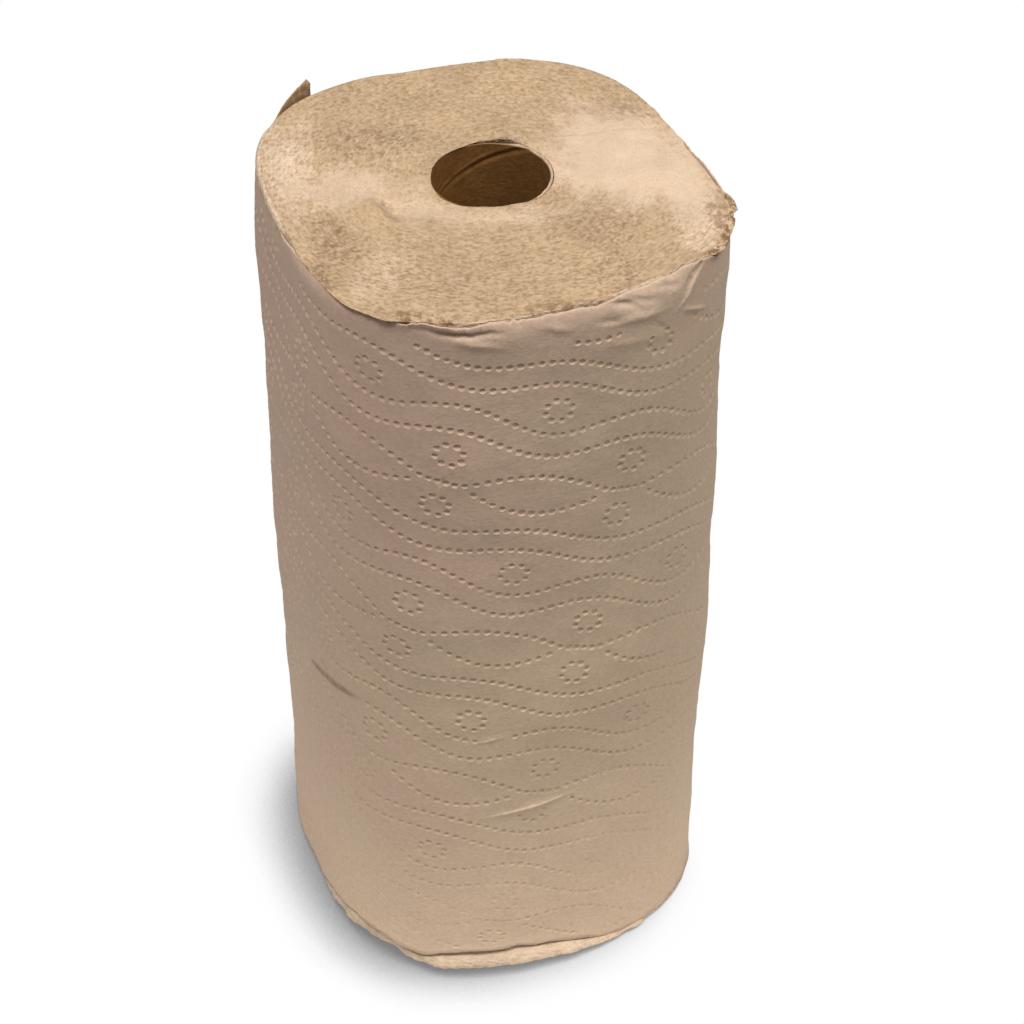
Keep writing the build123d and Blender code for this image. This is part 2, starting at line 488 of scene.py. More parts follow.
def sheet_place(arc, out):
    """Plan place on the outermost turn, moved outwards."""
    x = np.interp(arc, plan_arc, plan_xy[:, 0]) + out * np.interp(arc, plan_arc, plan_step[:, 1])
    y = np.interp(arc, plan_arc, plan_xy[:, 1]) - out * np.interp(arc, plan_arc, plan_step[:, 0])
    return x, y


# Embossing


def line_heights(p):
    """Distance down from the cell's middle of its wave lines and of the two edges of its eye."""
    wave = np.cos(2 * math.pi * p)
    lines = [place + swing * wave for place, swing in WAVE_LINES]
    eye = EYE_HEIGHT * np.cos(np.clip(p / EYE_TIP, -1, 1) * math.pi / 2)
    middle = EYE_SAG * (2 * p) ** 2
    return lines + [middle - eye, middle + eye]


def line_dot(p, row):
    """Dot of a line at a share across the cell: its place and slant."""
    slope = (line_heights(p + 0.01)[row] - line_heights(p - 0.01)[row]) / (0.02 * cell_across_length)
    return p, line_heights(p)[row], math.atan(slope)


def cell_dots():
    """Dots of one cell: share across, millimetres down and slant of each."""
    dots = []
    for row in range(4):
        dots += [line_dot(-0.5 + (k + 0.5) / LINE_DOTS, row) for k in range(LINE_DOTS)]
    for row in (4, 5):
        dots += [line_dot(-EYE_TIP + 2 * EYE_TIP * (k + 0.5) / EYE_DOTS, row) for k in range(EYE_DOTS)]
    for k in range(BRIDGE_DOTS):
        dots.append((EYE_TIP + (1 - 2 * EYE_TIP) * (k + 0.5) / BRIDGE_DOTS, BRIDGE_HEIGHT, 0.0))
    for p, v in RINGS:
        for k in range(RING_DOTS):
            turn = 2 * math.pi * (k + 0.5) / RING_DOTS
            across = p + RING_HALF[0] * math.cos(turn) / cell_across_length
            dots.append((across, v + RING_HALF[1] * math.sin(turn), 0.0))
    return dots


cell_middle = np.array((float(arc_at(CELL_ANGLE)) + CELL_SHIFT, CELL_HEIGHT))
cell_across_length = float(np.linalg.norm(CELL_ACROSS))
cell_down_length = float(np.linalg.norm(CELL_DOWN))
cell_slant = math.atan2(CELL_ACROSS[1], CELL_ACROSS[0])


def cell_coords(arc, height):
    """Share across and millimetres down of a place, in the cell that it lies in."""
    basis = np.linalg.inv(np.stack((CELL_ACROSS, CELL_DOWN), axis=1))
    du, dv = arc - cell_middle[0], height - cell_middle[1]
    p = basis[0, 0] * du + basis[0, 1] * dv
    v = basis[1, 0] * du + basis[1, 1] * dv
    return (p + 0.5) % 1.0 - 0.5, ((v + 0.5) % 1.0 - 0.5) * cell_down_length


def plain_margin(angle):
    """Width of the plain strip under the top edge, wider where the edge is creased."""
    return PLAIN_MARGIN + PLAIN_MORE * (zone(angle, -80, -41, 8) + zone(angle, -53, -32, 8))


def creased(arc, height):
    """Whether a dot here would lie across a crease that isn't a wide one."""
    return any(
        crease_form(arc, height, start, end, width + CREASE_CLEAR) > 0.1
        for start, end, width, _ in CREASES
        if width < WIDE_CREASE
    )


def is_embossed(arc, height):
    """Whether a dot can lie here, clear of the sheet's edges and creases."""
    top = SHEET_TOP - plain_margin(angle_at(arc))
    on_sheet = 2.0 < arc < SHEET_LENGTH - 2.0 and HEM_RISE + 3.0 < height < top
    return on_sheet and not creased(arc, height)


def sheet_dots():
    """Every dot on the sheet: place along and up it, and slant."""
    dots = []
    for i in range(-6, 12):
        for j in range(-6, 8):
            for p, v, slant in cell_dots():
                place = cell_middle + (i + p) * CELL_ACROSS + (j + v / cell_down_length) * CELL_DOWN
                if is_embossed(*place):
                    dots.append((*place, cell_slant - slant))
    return apart(dots)


class Squares:
    """Places on the sheet sorted into squares, to find those near another place."""

    def __init__(self, size):
        self.size = size
        self.held = {}

    def square(self, place):
        return int(place[0] // self.size), int(place[1] // self.size)

    def add(self, place):
        self.held.setdefault(self.square(place), []).append(place)

    def clear(self, place):
        """Whether every place held is a square's size or more away."""
        column, row = self.square(place)
        near = [
            other
            for i in (column - 1, column, column + 1)
            for j in (row - 1, row, row + 1)
            for other in self.held.get((i, j), ())
        ]
        return all(math.hypot(place[0] - other[0], place[1] - other[1]) >= self.size for other in near)


def apart(dots):
    """Dots without those that lie too near an earlier one."""
    kept, squares = [], Squares(DOT_APART)
    for dot in dots:
        if squares.clear(dot):
            kept.append(dot)
            squares.add(dot)
    return kept


# Form of the outermost turn

slow_noise = Noise(3, 70.0)
middle_noise = Noise(4, 24.0)
fine_noise = Noise(5, 8.0)
edge_noise = Noise(6, 14.0, dims=1)
edge_fine_noise = Noise(8, 4.0, dims=1)
fade_noise = Noise(9, 55.0)


def emboss_strength(arc, height):
    """Depth of the embossing, which is pressed flat low down and in patches."""
    low = LOW_EMBOSS + (1 - LOW_EMBOSS) * smooth((height - 40.0) / 85.0)
    right = 1.0 - RIGHT_FADE * zone(angle_at(arc), -42, 10, 20)
    return low * right * np.clip(1.0 + 0.2 * fade_noise(arc, height), 0.6, 1.25)


def pillow(arc, height):
    """Swelling of the paper between the lines of dots."""
    p, v = cell_coords(arc, height)
    gap = np.full(np.shape(arc), 99.0)
    for line in line_heights(p):
        for turn in (-cell_down_length, 0.0, cell_down_length):
            gap = np.minimum(gap, np.abs(v - line - turn))
    return PILLOW * smooth(gap / PILLOW_EDGE)


def crease_frame(start, end):
    """Start, direction and length of a crease on the flat sheet."""
    a = np.array((float(arc_at(start[0])), start[1]))
    b = np.array((float(arc_at(end[0])), end[1]))
    length = float(np.linalg.norm(b - a))
    return a, (b - a) / length, length


def crease_form(arc, height, start, end, width):
    """Bell across a crease, fading at its ends."""
    a, along, length = crease_frame(start, end)
    t = (arc - a[0]) * along[0] + (height - a[1]) * along[1]
    off = (height - a[1]) * along[0] - (arc - a[0]) * along[1]
    return bump(off / width) * bump((t / length - 0.5) / 0.62)


def hem_height(angle):
    """Height of the outermost turn's bottom edge."""
    return at_angles(HEM, angle)


def side_shape(arc, height):
    """How far a place stands out with the unevenness of the paper, its embossing and its creases."""
    slow, middle, fine = SIDE_UNEVEN
    calm = CALM + (1 - CALM) * smooth((SHEET_TOP - height) / CALM_REACH)
    out = calm * (slow * slow_noise(arc, height) + middle * middle_noise(arc, height))
    out = out + bulging(angle_at(arc), height)
    out = out + fine * fine_noise(arc, height) + pillow(arc, height) * emboss_strength(arc, height)
    for start, end, width, size in CREASES:
        out = out + size * crease_form(arc, height, start, end, width)
    return out


def edge_shape(arc, height):
    """How far the strip under the top edge bends in, and how high a place then is."""
    angle = angle_at(arc)
    reach = EDGE_REACH * (1 + stretch("rounded", angle) + stretch("leaning", angle))
    bend = EDGE_TURN * np.clip((height - SHEET_TOP + reach) / reach, 0.0, 1.0)
    lean = edge_lean(angle) * (1 - np.cos(bend)) / (1 - np.cos(EDGE_TURN))
    lift = (reach + LIP_DROP - edge_drop(angle)) * np.sin(bend) / np.sin(EDGE_TURN)
    return lean, np.where(bend > 0, SHEET_TOP - reach + lift, height)


def sheet_shape(arc, height):
    """How far a place on the outermost turn stands out from its smooth form, and how high it is."""
    angle = angle_at(arc)
    lean, rise = edge_shape(arc, height)
    out = side_shape(arc, height) - lean

    top = smooth((height - (SHEET_TOP - TOP_STRIP)) / TOP_STRIP)
    tail = np.clip(1 - arc / TAIL_REACH, 0, 1)
    under = smooth((arc - SHEET_LENGTH + TAIL_REACH) / 10.0)
    out = out + TAIL_LIFT * tail**2 + CORNER_LIFT * top * bump((arc - 3.0) / 18.0) - OVERLAP_TUCK * under
    from_tip = np.abs(arc - FLAP_TIP) / np.where(arc < FLAP_TIP, FLAP_BACK, FLAP_LENGTH)
    uneven = EDGE_UNEVEN[0] * edge_noise(arc) + EDGE_UNEVEN[1] * edge_fine_noise(arc)
    uneven = uneven * (1 - stretch("rounded", angle))
    rise = rise + top * (uneven + FLAP_RISE * np.clip(1 - from_tip, 0, 1))

    bottom = np.clip((HEM_RISE + HEM_REACH - height) / HEM_REACH, 0, 1) ** 2
    along = arc + 300.0  # another part of the noise than at the top edge
    uneven = HEM_UNEVEN[0] * edge_noise(along) + HEM_UNEVEN[1] * edge_fine_noise(along)
    return out + HEM_FLARE * bottom**6, rise + bottom * (hem_height(angle) - HEM_RISE + uneven)


def border_points():
    """Places along the four edges of the sheet."""
    along = np.linspace(0.0, SHEET_LENGTH, 331)
    up = np.linspace(HEM_RISE, SHEET_TOP, 120)[1:-1]
    places = [(a, h) for h in (HEM_RISE, SHEET_TOP) for a in along]
    return places + [(a, h) for a in (0.0, SHEET_LENGTH) for h in up]


def plain_points():
    """Places between the dots: a loose grid, with more under the top edge and along the creases."""
    places = []
    step = GRID * math.sqrt(0.75)
    for i, height in enumerate(np.arange(HEM_RISE + 1.6, SHEET_TOP - RIM_ROWS[-1] - 1.2, step)):
        for arc in np.arange(1.8 + GRID / 2 * (i % 2), SHEET_LENGTH - 1.8, GRID):
            places.append((arc + rng.uniform(-0.5, 0.5), height + rng.uniform(-0.4, 0.4)))
    for i, drop in enumerate(RIM_ROWS):
        for arc in np.arange(1.2 + RIM_STEP / 2 * (i % 2), SHEET_LENGTH - 1.2, RIM_STEP):
            places.append((arc, SHEET_TOP - drop))
    for start, end, width, _ in CREASES:
        a, along, length = crease_frame(start, end)
        for t in np.arange(0.0, length, CREASE_STEP):
            for off in CREASE_ROWS:
                place = a + along * t + np.array((-along[1], along[0])) * off * width
                if place[1] < SHEET_TOP - 0.4:
                    places.append((place[0], place[1]))
    return places


def dot_points(dot, size):
    """Places round the rim and the floor of a dot, and how deep each is pressed in."""
    arc, height, slant = dot
    c, s = math.cos(slant), math.sin(slant)
    for count, share, press in ((DOT_RIM, 1.0, 0.0), (DOT_BASE, DOT_FLOOR, 1.0)):
        for k in range(count):
            turn = 2 * math.pi * (k + 0.5 * press) / count
            x = DOT_LONG * size * share * math.cos(turn) + press * (DOT_OFFSET * math.cos(FLOOR_SIDE))
            y = DOT_HIGH * size * share * math.sin(turn) + press * (DOT_OFFSET * math.sin(FLOOR_SIDE))
            lift = DOT_LIP * max(0.0, -math.cos(turn - FLOOR_SIDE))
            yield (arc + c * x - s * y, height + s * x + c * y), DOT_DEPTH if press else -lift


def sheet_points():
    """Places on the sheet, how deep each is pressed in and whose rim it is on, for the outer face."""
    places = border_points()
    border = len(places)
    depth = [0.0] * border
    rim = [-1] * border  # number of the dot whose rim a place is on
    dots = sheet_dots()
    for number, dot in enumerate(dots):
        size = rng.uniform(*DOT_SIZES)
        strength = float(emboss_strength(dot[0], dot[1])) * rng.uniform(*DOT_STRENGTHS)
        for place, press in dot_points(dot, size):
            places.append(place)
            depth.append(strength * press)
        rim += [number] * DOT_RIM + [-1] * DOT_BASE
    squares = Squares(DOT_CLEAR)
    for dot in dots:
        squares.add(dot)
    plain = [place for place in plain_points() if squares.clear(place)]
    places += plain
    depth += [0.0] * len(plain)
    rim += [-1] * len(plain)
    return np.array(places), np.array(depth), np.array(rim), border


def sheet_torn_and_shade(arc, height):
    """How torn, brown and shaded the sheet is: its free corner with painted shade as it lies in shadow, its
    brown edge at the right and one crease whose dark line is painted shade.
    """
    flap = smooth((height - (SHEET_TOP - 11.0)) / 5.0) * smooth((FLAP_LENGTH + 1.0 - arc) / 4.0)
    edge = smooth((height - (SHEET_TOP - 3.0)) / 3.0) * stretch("ragged", angle_at(arc))
    torn_and_shade = np.maximum(flap, 0.7 * edge)
    for start, end, width, _ in (CREASES[k] for k in PAINTED_SHADE_CREASE):
        torn_and_shade = np.maximum(torn_and_shade, 0.75 * smooth(1.6 * crease_form(arc, height, start, end, width)))
    return torn_and_shade


def sharpen(mesh, rim):
    """Makes the edges round each dot sharp."""
    ends = np.zeros(2 * len(mesh.edges), dtype=np.int32)
    mesh.edges.foreach_get("vertices", ends)
    first, second = rim[ends[0::2]], rim[ends[1::2]]
    mesh.edges.foreach_set("use_edge_sharp", (first == second) & (first >= 0))


def sheet_face(places, depth):
    """Triangles between places on the sheet, and the points that they have on the roll."""
    faces = delaunay_2d_cdt([Vector(place) for place in places], [], [], 0, 1e-6)[2]
    out, rise = sheet_shape(places[:, 0], places[:, 1])
    x, y = sheet_place(places[:, 0], out - depth)
    return faces, np.stack((x, y, rise), axis=1)


def build_sheet():
    """Outermost turn: a thin sheet with an embossed outer face and a plain inner one."""
    places, depth, rim, border = sheet_points()
    faces, outer = sheet_face(places, depth)

    low_rows = np.linspace(HEM_RISE + 5, SHEET_TOP - 9, 40)
    inner_rows = np.concatenate((low_rows, SHEET_TOP - np.array(RIM_ROWS[1::2])))
    inner_grid = [(a, h) for h in inner_rows for a in np.linspace(4.0, SHEET_LENGTH - 4.0, 120)]
    inner_places = np.concatenate((places[:border], np.array(inner_grid)))
    inner_faces, inner = sheet_face(inner_places, SHEET_THICKNESS)

    shift = len(outer)
    all_faces = [tuple(f) for f in faces] + [tuple(shift + v for v in reversed(f)) for f in inner_faces]
    edges = {(f[k], f[(k + 1) % 3]) for f in faces for k in range(3)}
    all_faces += [(b, a, shift + a, shift + b) for a, b in sorted(edges) if (b, a) not in edges]
    sheet = make_mesh("towel_sheet", np.concatenate((outer, inner)), all_faces)
    sharpen(sheet.data, np.concatenate((rim, np.full(len(inner_places), -1))))
    both = np.concatenate((places, inner_places))
    paint(sheet, "torn_and_shade", sheet_torn_and_shade(both[:, 0], both[:, 1]))
    return sheet


# Body of the roll: the turns under the outermost one, with both ends and the bore

turn_noise = Noise(21, 1.9, spread=0.7, count=40, dims=1)
turn_drift = Noise(22, 60.0)
grain_noise = Noise(23, 2.6, spread=0.6, count=40)
face_noise = Noise(24, 34.0)
crumple_noise = Noise(25, 5.5)
patch_noise = Noise(26, 13.0)
patch_fine_noise = Noise(27, 4.5)


def patches(x, y, spots, edge=0.9):
    """Soft-edged patches of the top end."""
    total = np.zeros(np.shape(x))
    rough_edge = 0.16 * patch_noise(x, y) + 0.12 * patch_fine_noise(x, y)
    for (x0, y0), (half_long, half_wide), slant, strength in spots:
        c, s = math.cos(math.radians(slant)), math.sin(math.radians(slant))
        u = (c * (x - x0) + s * (y - y0)) / half_long
        v = (c * (y - y0) - s * (x - x0)) / half_wide
        total = np.maximum(total, strength * smooth((1.0 + edge / 2 - np.hypot(u, v) + rough_edge) / edge))
    return total


def fan(x, y):
    """Pale fan of the top end, from the bore to the right."""
    depth = np.full(np.shape(x), 99.0)
    for (x0, y0), (x1, y1) in zip(FAN, FAN[1:] + FAN[:1]):
        away = (x1 - x0) * (y - y0) - (y1 - y0) * (x - x0)
        depth = np.minimum(depth, -away / math.hypot(x1 - x0, y1 - y0))
    return smooth(0.5 + (depth + 2.0 * patch_noise(x, y) + 1.4 * patch_fine_noise(x, y)) / FAN_EDGE)


def pallor(x, y):
    """How pale the top end is."""
    return np.maximum(fan(x, y), patches(x, y, PALE))


def bore_radius(angle, height):
    """Radius of the towel's bore, with the place where the first turn has come away."""
    lift = bump(turned(angle, LIFT_ANGLE) / 21.0) * smooth((height - TOWEL_WIDTH + LIFT_DEPTH + 3.0) / 3.0)
    return TOWEL_BORE + LIFT_GAP * lift


def mouth_lip(angle):
    """How far the towel's mouth lies outside its bore, below zero where it hangs over the core."""
    return at_angles(MOUTH, angle) - TOWEL_BORE


def beside(x, y, start, end):
    """Distance to the side of a line on the top end, and how near its middle a place is."""
    along = np.array(end) - np.array(start)
    length = np.linalg.norm(along)
    along /= length
    t = (x - start[0]) * along[0] + (y - start[1]) * along[1]
    off = (y - start[1]) * along[0] - (x - start[0]) * along[1]
    return off, bump((t / length - 0.5) / 0.7)


def roughness(x, y):
    """How rough the top end is, from smeared smooth to torn."""
    rough = ROUGH + ROUGH_TORN * patches(x, y, TORN)
    return np.clip(rough - ROUGH_FAN * fan(x, y) - ROUGH_SMEARED * patches(x, y, SMEARED), *ROUGH_LIMITS)


def top_relief(radius, share, angle):
    """Height of the top end over its plane: edges of the turns, grain, dents and worn edges."""
    x, y = polar(radius, angle)
    turns = turn_noise(share * TURN_SCALE + 0.9 * turn_drift(x, y))
    rough = roughness(x, y)
    relief = (TURN_RELIEF[0] + TURN_RELIEF[1] * rough) * turns
    relief = relief + GRAIN_RELIEF * rough * grain_noise(x, y) + FACE_RELIEF * face_noise(x, y)
    off, fade = beside(x, y, *DENT)
    relief = relief + fade * np.interp(off, DENT_ACROSS, DENT_HEIGHT)
    off, fade = beside(x, y, *FOLD)
    relief = relief + fade * np.interp(off, FOLD_ACROSS, FOLD_HEIGHT)
    depth = (1 - share) * END_WIDTH
    crumpled = stretch("ragged", angle) * smooth(1 - depth / CRUMPLE_REACH)
    relief = relief + CRUMPLE * crumple_noise(x, y) * crumpled
    rim = smooth(depth / 1.6)
    inner = smooth(share * END_WIDTH / 0.9)
    worn = EDGE_WORN * (1 - stretch("rounded", angle)) * (1 - rim) ** 2
    return relief * np.minimum(0.35 + 0.65 * rim, inner) - worn - 0.15 * (1 - inner) ** 2


def foot_ring(angle, share):
    """Radius and height of the body's foot at a share of the way up to the hem."""
    hem = hem_height(angle) + 1.5
    plain = outside(angle) - BODY_INSET
    bulge = at_angles(SWELL, angle)
    low = FOOT_ROUND * (1 - np.sin(np.clip(share / 0.45, 0, 1) * math.pi / 2))
    swell = bulge * SWELL_MOST * np.sin(np.clip((share - 0.03) / 0.77, 0, 1) * math.pi) ** 0.8
    lumps = 0.22 * edge_noise(angle * 1.3 + 40.0) + 0.12 * edge_fine_noise(angle * 1.3 + 9.0 * share)
    plain = plain + bulging(angle, hem * share)
    return plain - low + swell + lumps * np.sin(share * math.pi), hem * share


def crown_ring(angle, share):
    """Radius and height of the body's side at a share of the way up to the edge of its end."""
    inset = end_inset(angle)
    uneven = stretch("ragged", angle) + 0.6 * stretch("overhanging", angle)
    inset = inset + uneven * (0.45 * edge_noise(angle * 0.9) + 0.12 * edge_noise(angle * 3.0))
    gain = np.where(inset > BODY_INSET, 1 - math.cos(share * math.pi / 2), smooth((share - 0.82) / 0.16))
    sharp = BODY_INSET + (inset - BODY_INSET) * gain
    sharp_height = TOWEL_WIDTH - CROWN_REACH + (CROWN_REACH - EDGE_WORN) * share

    bend = max(0.0, share - 0.4) / 0.6 * math.pi / 2
    felted = BODY_INSET * (1 - smooth(share / 0.25)) - FELT_OUT + FELT_ROUND * (1 - math.cos(bend))
    straight = min(share / 0.4, 1.0)
    felted_height = TOWEL_WIDTH - CROWN_REACH + (CROWN_REACH - FELT_ROUND) * straight
    felted_height = felted_height + FELT_ROUND * math.sin(bend)

    left = stretch("rounded", angle)
    radius = outside(angle) - sharp * (1 - left) - (felted - SHEET) * left
    return radius, sharp_height * (1 - left) + felted_height * left


def build_body():
    """Closed rings: up the side, in over the top, down the bore and out below."""
    angle = ring_angles(BODY_COLUMNS)
    rings, marks = [], []

    def add_ring(radius, height, pale_and_lit=0.8, rough=0.4, brown_and_shade=0.0):
        rings.append(ring(angle, radius, height))
        marks.append(np.stack([mark + 0.0 * angle for mark in (pale_and_lit, rough, brown_and_shade)]))

    def add_top_ring(radius, height, edge=0.0, least=0.0):
        x, y = polar(radius, angle)
        brown_and_shade = np.maximum(patches(x, y, BROWN_AND_SHADE), edge * stretch("ragged", angle))
        add_ring(radius, height, np.maximum(pallor(x, y), least), roughness(x, y), brown_and_shade)

    # Painted light: the band of turns at the foot is painted paler than the pale felt colour, as if it
    # caught more light
    for share in np.linspace(0, 1, FOOT_RINGS):
        add_ring(*foot_ring(angle, share), pale_and_lit=1.3, rough=0.3)
    for height in SIDE_HEIGHTS:
        add_ring(outside(angle) - BODY_INSET + bulging(angle, height), height)
    for share in np.linspace(0, 1, CROWN_RINGS):
        rim, height = crown_ring(angle, share)
        add_top_ring(rim, height, edge=1.5, least=0.9)
    mouth = bore_radius(angle, TOWEL_WIDTH) + mouth_lip(angle)
    for share in np.linspace(0.998, 0.0, TOP_RINGS):
        radius = mouth + (rim - mouth) * share
        edge = 2.0 * smooth((share - 0.945) / 0.03)
        add_top_ring(radius, TOWEL_WIDTH + top_relief(radius, share, angle), edge)
    lip_height = TOWEL_WIDTH - MOUTH_LIP
    add_ring(mouth + 0.05, lip_height, pale_and_lit=0.3, rough=0.8)
    add_ring(bore_radius(angle, TOWEL_WIDTH - 0.45), lip_height - 0.1, pale_and_lit=0.3, rough=0.8)
    # Painted shade: the towel's walls down the bore, beside the gap at the core, are painted dark brown and
    # not pale
    for drop in BORE_DROPS:
        height = TOWEL_WIDTH - drop
        add_ring(bore_radius(angle, height), height, pale_and_lit=0.0, rough=1.0, brown_and_shade=3.0)
    for share in np.linspace(0.0, 0.97, BASE_RINGS):
        radius = TOWEL_BORE + (outside(angle) - BODY_INSET - FOOT_ROUND - TOWEL_BORE) * share
        add_ring(radius, 0.12 * (1 + np.sin(share * 120.0)))

    body = make_mesh("towel_turns", np.concatenate(rings), ring_faces(len(rings), BODY_COLUMNS))
    for name, values in zip(("pale_and_lit", "rough", "brown_and_shade"), np.concatenate(marks, axis=1)):
        paint(body, name, values)
    return body


# Core

core_noise = Noise(31, 9.0)
core_rim_noise = Noise(32, 7.0, dims=1)


def core_wall(angle, height):
    """Inside radius of the core, with the seam of its inner ply."""
    along = ((TOWEL_WIDTH - height) / SEAM_PITCH - (angle - SEAM_TOP_ANGLE) / 360.0 + 0.5) % 1.0 - 0.5
    off = along * SEAM_PITCH
    clear = SEAM_FADED + (1 - SEAM_FADED) * smooth((height - 260.0) / 13.0)
    groove = SEAM_DEPTH * bump(off / SEAM_HALF) * clear
    step = SEAM_STEP * smooth((off + 0.4) / 0.8) * smooth(1 - off / 9.0) * (off > -0.4)
    edge = SEAM_EDGE * bump((off + 1.9) / 0.7) * smooth((height - 262.0) / 6.0)
    return CORE_RADIUS + groove - step - edge + 0.03 * core_noise(angle * 0.33, height)


def build_core():
    """Cardboard tube with the seam of its inner ply and a cut rim."""
    angle = ring_angles(CORE_COLUMNS)
    rings = [ring(angle, CORE_RADIUS + out, 0.0) for out in (0.2, 0.7)]
    for height in (0.3, 100.0, 200.0, TOWEL_WIDTH - 2.0):
        rings.append(ring(angle, CORE_RADIUS + CORE_WALL, height))
    uneven = 0.12 * core_rim_noise(angle * 0.33) - 0.9 * smooth(-mouth_lip(angle) / 0.1)
    for share, lift in CORE_RIM:
        rings.append(ring(angle, CORE_RADIUS + CORE_WALL * share, TOWEL_WIDTH + lift + uneven))
    for height in CORE_HEIGHTS:
        rings.append(ring(angle, core_wall(angle, height), height))
    return make_mesh("core_board", np.concatenate(rings), ring_faces(len(rings), CORE_COLUMNS))


# Materials


class Nodes:
    """Shorthand for a material's nodes. A value is a number, a colour or another node's output."""

    def __init__(self, name):
        self.material = bpy.data.materials.new(name)
        self.material.use_nodes = True
        self.tree = self.material.node_tree
        self.tree.nodes.clear()
        self.coords = self.add("TexCoord").outputs["Object"]

    def add(self, kind, inputs=None, **settings):
        """New node with its settings, and with values for some inputs by name or place."""
        node = self.tree.nodes.new("ShaderNode" + kind)
        for key, value in settings.items():
            setattr(node, key, value)
        for key, value in (inputs or {}).items():
            if isinstance(value, bpy.types.NodeSocket):
                self.tree.links.new(value, node.inputs[key])
            else:
                node.inputs[key].default_value = value
        return node

    def painted(self, name):
        return self.add("Attribute", attribute_name=name).outputs["Fac"]

    def noise(self, scale, detail=2.0, roughness=0.5, coords=None):
        inputs = {"Vector": coords or self.coords, "Scale": scale, "Detail": detail, "Roughness": roughness}
        return self.add("TexNoise", inputs).outputs["Fac"]

    def math(self, operation, *values):
        return self.add("Math", dict(enumerate(values)), operation=operation).outputs[0]

    def times(self, a, b):
        return self.math("MULTIPLY", a, b)

    def length(self, x, y):
        return self.math("SQRT", self.math("ADD", self.times(x, x), self.times(y, y)))

    def ramp(self, value, low, high, to_low=0.0, to_high=1.0):
        inputs = dict(enumerate((value, low, high, to_low, to_high)))
        return self.add("MapRange", inputs, interpolation_type="SMOOTHSTEP").outputs[0]

    def mix(self, share, a, b, blend="MIX", clamp=True):
        inputs = {"Factor": share, 6: a, 7: b}
        node = self.add("Mix", inputs, data_type="RGBA", blend_type=blend, clamp_factor=clamp)
        return node.outputs[2]

    def grey(self, value):
        return self.join(value, value, value)

    def shaded(self, colour, value):
        return self.mix(1.0, colour, self.grey(value), "MULTIPLY")

    def mapping(self, scale):
        return self.add("Mapping", {"Vector": self.coords, "Scale": scale}).outputs["Vector"]

    def split(self):
        return self.add("SeparateXYZ", {0: self.coords}).outputs

    def join(self, *values):
        return self.add("CombineXYZ", dict(enumerate(values))).outputs[0]

    def bumped(self, height, distance, strength=1.0, **normal):
        inputs = {"Height": height, "Distance": distance, "Strength": strength, **normal}
        return self.add("Bump", inputs).outputs[0]

    def output(self, shader):
        """Material that ends in a shader."""
        self.add("OutputMaterial", {"Surface": shader.outputs[0]})
        return self.material

    def finish(self, colour, normal, roughness=0.9, sheen=0.0):
        """Material of a rough surface."""
        inputs = {"Base Color": colour, "Normal": normal, "Roughness": roughness, "Specular IOR Level": 0.2}
        sheens = {"Sheen Weight": sheen, "Sheen Roughness": 0.6}
        return self.output(self.add("BsdfPrincipled", inputs | sheens))


def sheet_material():
    """Face of the towel: mottled unbleached tissue with fibres and a crêped surface."""
    n = Nodes("towel_face")
    x, _, z = n.split()
    tint = n.math("MULTIPLY_ADD", x, 3.0, n.noise(14.0, 3.0))
    tint = n.math("MULTIPLY_ADD", z, -1.6, tint)
    colour = n.mix(n.ramp(tint, -0.06, 0.38), PAPER_WARM, PAPER_COOL)
    # Painted light: the paper is made lighter towards the floor, standing in for light thrown up from the
    # floor
    colour = n.shaded(colour, n.ramp(z, 0.0, 0.11, 1.09, 0.98))
    fibre = n.noise(900.0, 3.0, 0.65, n.mapping((0.7, 0.7, 1.2)))
    colour = n.shaded(colour, n.ramp(fibre, 0.3, 0.7, 0.92, 1.06))
    fleck = n.ramp(n.noise(420.0, 1.0, 0.5), 0.7, 0.8)
    colour = n.mix(n.times(fleck, 0.2), colour, PAPER_FLECK)
    # Painted shade: the free corner and one crease are darkened as if in shadow, along with the brown of
    # the torn edge at the right
    torn_and_shade = n.times(n.painted("torn_and_shade"), n.ramp(n.noise(500.0, 3.0, 0.7), 0.3, 0.6, 0.55, 1.0))
    colour = n.mix(torn_and_shade, colour, PAPER_TORN_AND_SHADE)
    crepe = n.noise(1000.0, 2.0, 0.6, n.mapping((0.7, 0.7, 1.5)))
    soft = n.noise(260.0, 3.0, 0.6)
    normal = n.bumped(soft, 0.0005, 0.5)
    normal = n.bumped(crepe, 0.0002, 0.5, Normal=normal)
    return n.finish(colour, normal, 0.92, 0.05)


